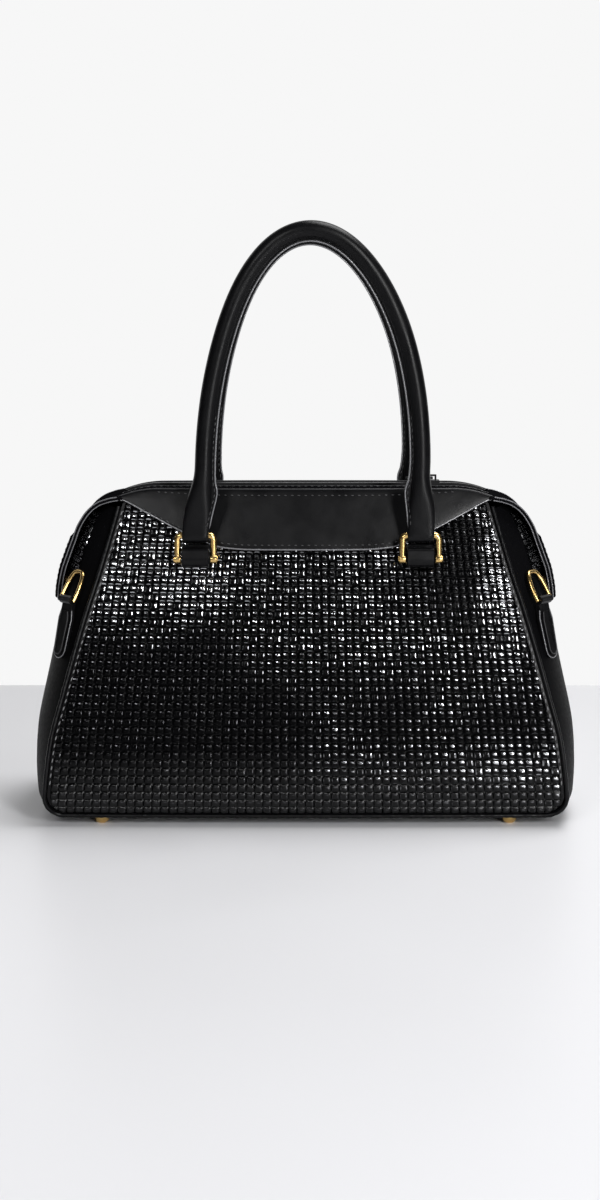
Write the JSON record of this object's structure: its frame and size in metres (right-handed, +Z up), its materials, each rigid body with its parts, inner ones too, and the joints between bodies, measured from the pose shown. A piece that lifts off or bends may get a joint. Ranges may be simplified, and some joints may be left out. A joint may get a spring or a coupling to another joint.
{
  "type": "tote bag",
  "caption": "Structured black tote bag of basket-weave leather with a zip top, rolled handles on brass shackles, side flaps and D-rings.",
  "frame": {"origin": "under the middle of the bag, on the surface that its four feet stand on", "axes": "+Z up, -Y out of the front face, +X to the right of someone looking at the front"},
  "size_m": [0.3832, 0.152, 0.4119],
  "materials": {
    "smooth_leather": "smooth black leather with a soft sheen",
    "woven_leather": "glossy black basket-weave leather",
    "brass": "polished yellow metal",
    "zip_metal": "black enamelled",
    "lining_fabric": "plain dark cloth",
    "stiffener_board": "dark board"
  },
  "bodies": {
    "bag": {"base_board": "stiffener_board", "base_panel": "smooth_leather", "front_left_chape": "smooth_leather", "front_left_foot": "brass", "front_panel": "woven_leather", "front_piping": "smooth_leather", "front_placket": "smooth_leather", "front_right_chape": "smooth_leather", "front_right_foot": "brass", "front_yoke": "smooth_leather", "front_zip_tape": "lining_fabric", "front_zip_teeth": "zip_metal", "left_d_ring_chape": "smooth_leather", "left_gusset": "smooth_leather", "left_gusset_inset": "woven_leather", "left_shoulder": "smooth_leather", "left_snap_stud": "brass", "lining": "lining_fabric", "rear_left_chape": "smooth_leather", "rear_left_foot": "brass", "rear_panel": "woven_leather", "rear_piping": "smooth_leather", "rear_placket": "smooth_leather", "rear_right_chape": "smooth_leather", "rear_right_foot": "brass", "rear_yoke": "smooth_leather", "rear_zip_tape": "lining_fabric", "rear_zip_teeth": "zip_metal", "right_d_ring_chape": "smooth_leather", "right_gusset": "smooth_leather", "right_gusset_inset": "woven_leather", "right_shoulder": "smooth_leather", "right_snap_stud": "brass"},
    "front_shackles": {"front_left_shackle": "brass", "front_right_shackle": "brass", "front_left_shackle_pin": "brass", "front_right_shackle_pin": "brass"},
    "rear_shackles": {"rear_left_shackle": "brass", "rear_right_shackle": "brass", "rear_left_shackle_pin": "brass", "rear_right_shackle_pin": "brass"},
    "front_handle": {"front_handle": "smooth_leather"},
    "rear_handle": {"rear_handle": "smooth_leather"},
    "left_flap": {"left_flap": "smooth_leather", "left_flap_patch": "smooth_leather", "left_snap_socket": "brass"},
    "right_flap": {"right_flap": "smooth_leather", "right_flap_patch": "smooth_leather", "right_snap_socket": "brass"},
    "left_d_ring": {"left_d_ring": "brass"},
    "right_d_ring": {"right_d_ring": "brass"},
    "zip_slider": {"zip_slider": "zip_metal"},
    "zip_pull": {"zip_pull": "zip_metal"}
  },
  "joints": [
    {"name": "front_shackle_hinge", "type": "hinge", "parent": "bag", "child": "front_shackles", "pos_m": [0.0016, -0.05601, 0.1838], "axis": [1, 0, 0], "range_deg": [0, 50]},
    {"name": "front_handle_hinge", "type": "hinge", "parent": "front_shackles", "child": "front_handle", "pos_m": [0.0016, -0.05601, 0.1999], "axis": [1, 0, 0], "range_deg": [-12, 95]},
    {"name": "rear_shackle_hinge", "type": "hinge", "parent": "bag", "child": "rear_shackles", "pos_m": [0.0016, 0.05601, 0.1838], "axis": [-1, 0, 0], "range_deg": [0, 50]},
    {"name": "rear_handle_hinge", "type": "hinge", "parent": "rear_shackles", "child": "rear_handle", "pos_m": [0.0016, 0.05601, 0.1999], "axis": [-1, 0, 0], "range_deg": [-12, 95]},
    {"name": "left_flap_hinge", "type": "hinge", "parent": "bag", "child": "left_flap", "pos_m": [-0.15131, 0, 0.2158], "axis": [0, 1, 0], "range_deg": [0, 60]},
    {"name": "left_d_ring_hinge", "type": "hinge", "parent": "bag", "child": "left_d_ring", "pos_m": [-0.16505, -0.04166, 0.15384], "axis": [0.6157, -0.788, 0], "range_deg": [0, 140]},
    {"name": "right_flap_hinge", "type": "hinge", "parent": "bag", "child": "right_flap", "pos_m": [0.15131, 0, 0.2158], "axis": [0, -1, 0], "range_deg": [0, 60]},
    {"name": "right_d_ring_hinge", "type": "hinge", "parent": "bag", "child": "right_d_ring", "pos_m": [0.16505, -0.04166, 0.15384], "axis": [0.6157, 0.788, 0], "range_deg": [0, 140]},
    {"name": "zip_slide", "type": "slide", "parent": "bag", "child": "zip_slider", "axis": [1, 0, 0], "range_m": [-0.17, 0]},
    {"name": "pull_hinge", "type": "hinge", "parent": "zip_slider", "child": "zip_pull", "pos_m": [0.089, 0, 0.2346], "axis": [0, 1, 0], "range_deg": [0, 150]}
  ]
}
